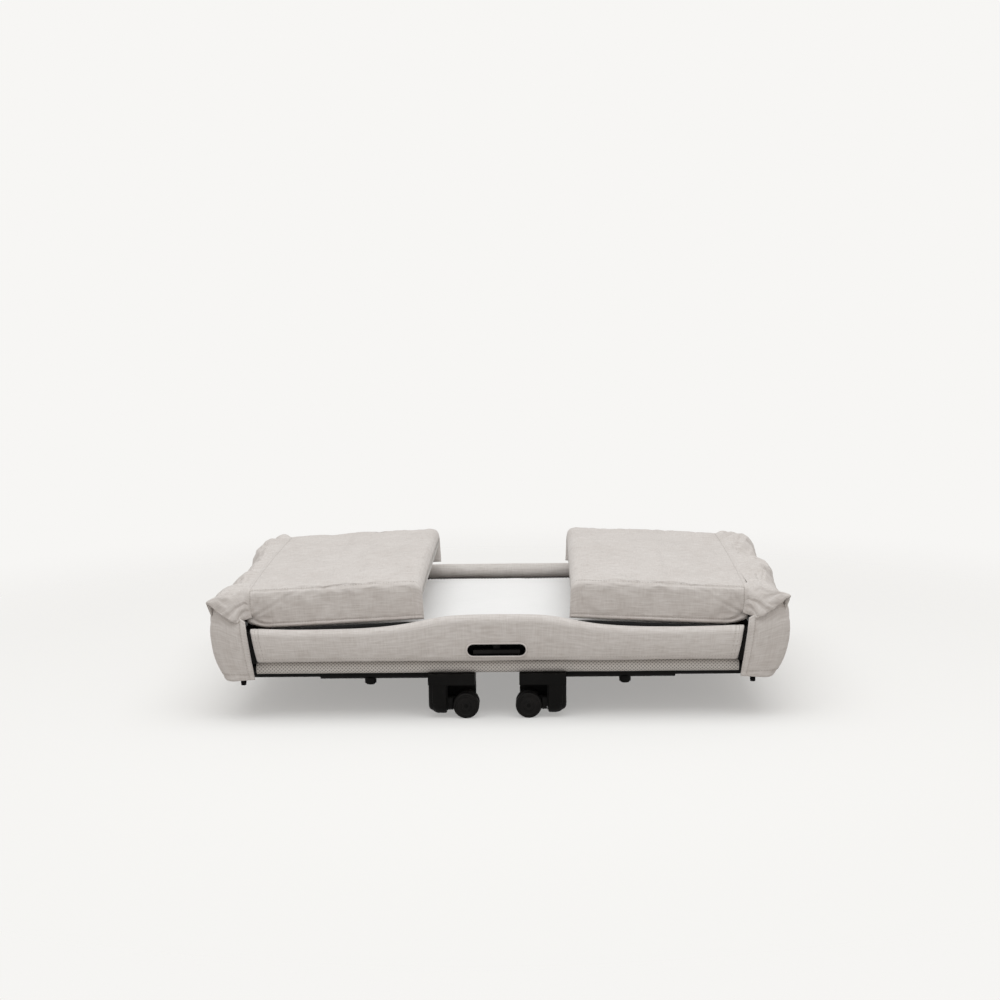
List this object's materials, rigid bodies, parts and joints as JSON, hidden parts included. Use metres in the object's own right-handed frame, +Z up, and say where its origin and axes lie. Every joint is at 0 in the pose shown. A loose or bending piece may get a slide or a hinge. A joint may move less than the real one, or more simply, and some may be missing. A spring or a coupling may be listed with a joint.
{
  "type": "bedside crib",
  "caption": "Folded travel crib with padded end walls that hinge up, lifting rails with mesh sides, a mattress and castor legs that fold under the base.",
  "frame": {"origin": "on the floor, under the middle of the folded crib", "axes": "+X along the width, +Y from the handle side to the back, +Z up"},
  "size_m": [0.8945, 0.58, 0.2149],
  "materials": {
    "grey_fabric": "heathered woven cover",
    "mesh_fabric": "open knitted mesh",
    "white_fabric": "plain white cotton cover",
    "black_plastic": "moulded satin black",
    "wheel_plastic": "dark grey moulded tread",
    "black_steel": "black powder coat",
    "bright_steel": "plain zinc plated",
    "foot_rubber": "soft black",
    "board": "plain pressed board"
  },
  "bodies": {
    "base": {"base_tube_front": "black_steel", "base_tube_rear": "black_steel", "end_beam_left": "black_steel", "end_beam_right": "black_steel", "corner_bracket_left_front": "black_plastic", "corner_bracket_left_rear": "black_plastic", "corner_bracket_right_front": "black_plastic", "corner_bracket_right_rear": "black_plastic", "wall_hinge_pins": "bright_steel", "leg_hinge_pins": "bright_steel", "corner_feet": "foot_rubber", "end_cap_left": "grey_fabric", "end_cap_right": "grey_fabric", "hinge_cover_left": "grey_fabric", "hinge_cover_right": "grey_fabric", "floor_board": "board", "mattress": "white_fabric", "front_mesh": "mesh_fabric", "rear_mesh": "mesh_fabric"},
    "front_rail": {"front_rail_tube": "black_steel", "front_rail_pad": "grey_fabric", "handle_bezel": "black_plastic", "rail_end_bracket_left": "black_plastic", "rail_end_bracket_right": "black_plastic"},
    "press_bar": {"press_bar": "black_plastic"},
    "rear_rail": {"rear_rail_tube": "black_steel", "rear_rail_sleeve": "grey_fabric", "rear_end_plugs": "black_plastic"},
    "latch_left": {"latch_rod_left": "bright_steel"},
    "wall_left": {"wall_pad_left": "grey_fabric", "wall_frame_left": "black_steel", "wall_board_left": "board", "wall_knuckles_left": "black_plastic"},
    "leg_left": {"leg_tubes_left": "black_steel", "leg_knuckles_left": "black_plastic"},
    "foot_left": {"leg_sleeves_left": "black_steel", "foot_bar_left": "black_steel", "foot_ends_left": "black_plastic"},
    "latch_right": {"latch_rod_right": "bright_steel"},
    "wall_right": {"wall_pad_right": "grey_fabric", "wall_frame_right": "black_steel", "wall_board_right": "board", "wall_knuckles_right": "black_plastic"},
    "leg_right": {"leg_tubes_right": "black_steel", "leg_knuckles_right": "black_plastic"},
    "foot_right": {"leg_sleeves_right": "black_steel", "foot_bar_right": "black_steel", "foot_ends_right": "black_plastic"},
    "button_left_front": {"height_button_left_front": "black_plastic"},
    "castor_left_front": {"castor_fork_left_front": "black_plastic"},
    "wheels_left_front": {"castor_wheels_left_front": "wheel_plastic"},
    "button_left_rear": {"height_button_left_rear": "black_plastic"},
    "castor_left_rear": {"castor_fork_left_rear": "black_plastic"},
    "wheels_left_rear": {"castor_wheels_left_rear": "wheel_plastic"},
    "button_right_front": {"height_button_right_front": "black_plastic"},
    "castor_right_front": {"castor_fork_right_front": "black_plastic"},
    "wheels_right_front": {"castor_wheels_right_front": "wheel_plastic"},
    "button_right_rear": {"height_button_right_rear": "black_plastic"},
    "castor_right_rear": {"castor_fork_right_rear": "black_plastic"},
    "wheels_right_rear": {"castor_wheels_right_rear": "wheel_plastic"}
  },
  "joints": [
    {"name": "left_wall_fold", "type": "hinge", "parent": "base", "child": "wall_left", "pos_m": [-0.388, 0, 0.146], "axis": [0, -1, 0], "range_deg": [0, 87.2], "deforming": ["hinge_cover_left"]},
    {"name": "right_wall_fold", "type": "hinge", "parent": "base", "child": "wall_right", "pos_m": [0.388, 0, 0.146], "axis": [0, 1, 0], "range_deg": [0, 87.2], "deforming": ["hinge_cover_right"]},
    {"name": "front_rail_lift", "type": "slide", "parent": "base", "child": "front_rail", "axis": [0, 0, 1], "range_m": [0, 0.272], "deforming": ["front_mesh"]},
    {"name": "rear_rail_lift", "type": "slide", "parent": "base", "child": "rear_rail", "axis": [0, 0, 1], "range_m": [0, 0.272], "deforming": ["rear_mesh"]},
    {"name": "press_bar_slide", "type": "slide", "parent": "front_rail", "child": "press_bar", "axis": [0, 1, 0], "range_m": [0, 0.006], "stiffness_N_per_m": 700, "springref_m": -0.004},
    {"name": "left_latch_slide", "type": "slide", "parent": "front_rail", "child": "latch_left", "axis": [1, 0, 0], "range_m": [0, 0.006]},
    {"name": "right_latch_slide", "type": "slide", "parent": "front_rail", "child": "latch_right", "axis": [-1, 0, 0], "range_m": [0, 0.006]},
    {"name": "left_leg_fold", "type": "hinge", "parent": "base", "child": "leg_left", "pos_m": [-0.4, 0, 0.0685], "axis": [0, 1, 0], "range_deg": [0, 90]},
    {"name": "left_leg_height", "type": "slide", "parent": "leg_left", "child": "foot_left", "axis": [-1, 0, 0], "range_m": [0, 0.075]},
    {"name": "right_leg_fold", "type": "hinge", "parent": "base", "child": "leg_right", "pos_m": [0.4, 0, 0.0685], "axis": [0, -1, 0], "range_deg": [0, 90]},
    {"name": "right_leg_height", "type": "slide", "parent": "leg_right", "child": "foot_right", "axis": [1, 0, 0], "range_m": [0, 0.075]},
    {"name": "left_front_button", "type": "slide", "parent": "foot_left", "child": "button_left_front", "axis": [0, 0, 1], "range_m": [0, 0.004], "stiffness_N_per_m": 900, "springref_m": -0.003},
    {"name": "left_front_castor_swivel", "type": "hinge", "parent": "foot_left", "child": "castor_left_front", "pos_m": [-0.072, -0.268, 0.023], "axis": [1, 0, 0], "continuous": true},
    {"name": "left_front_wheel_spin", "type": "hinge", "parent": "castor_left_front", "child": "wheels_left_front", "pos_m": [-0.048, -0.268, 0.02], "axis": [0, 1, 0], "continuous": true},
    {"name": "left_rear_button", "type": "slide", "parent": "foot_left", "child": "button_left_rear", "axis": [0, 0, 1], "range_m": [0, 0.004], "stiffness_N_per_m": 900, "springref_m": -0.003},
    {"name": "left_rear_castor_swivel", "type": "hinge", "parent": "foot_left", "child": "castor_left_rear", "pos_m": [-0.072, 0.268, 0.023], "axis": [1, 0, 0], "continuous": true},
    {"name": "left_rear_wheel_spin", "type": "hinge", "parent": "castor_left_rear", "child": "wheels_left_rear", "pos_m": [-0.048, 0.268, 0.02], "axis": [0, 1, 0], "continuous": true},
    {"name": "right_front_button", "type": "slide", "parent": "foot_right", "child": "button_right_front", "axis": [0, 0, 1], "range_m": [0, 0.004], "stiffness_N_per_m": 900, "springref_m": -0.003},
    {"name": "right_front_castor_swivel", "type": "hinge", "parent": "foot_right", "child": "castor_right_front", "pos_m": [0.072, -0.268, 0.023], "axis": [1, 0, 0], "continuous": true},
    {"name": "right_front_wheel_spin", "type": "hinge", "parent": "castor_right_front", "child": "wheels_right_front", "pos_m": [0.048, -0.268, 0.02], "axis": [0, 1, 0], "continuous": true},
    {"name": "right_rear_button", "type": "slide", "parent": "foot_right", "child": "button_right_rear", "axis": [0, 0, 1], "range_m": [0, 0.004], "stiffness_N_per_m": 900, "springref_m": -0.003},
    {"name": "right_rear_castor_swivel", "type": "hinge", "parent": "foot_right", "child": "castor_right_rear", "pos_m": [0.072, 0.268, 0.023], "axis": [1, 0, 0], "continuous": true},
    {"name": "right_rear_wheel_spin", "type": "hinge", "parent": "castor_right_rear", "child": "wheels_right_rear", "pos_m": [0.048, 0.268, 0.02], "axis": [0, 1, 0], "continuous": true}
  ],
  "couplings": [
    {"joint": "right_wall_fold", "follows": "left_wall_fold", "ratio": 1},
    {"joint": "front_rail_lift", "follows": "left_wall_fold", "m_per_rad": 0.1787},
    {"joint": "rear_rail_lift", "follows": "left_wall_fold", "m_per_rad": 0.1787},
    {"joint": "left_latch_slide", "follows": "press_bar_slide", "ratio": 1},
    {"joint": "right_latch_slide", "follows": "press_bar_slide", "ratio": 1}
  ]
}
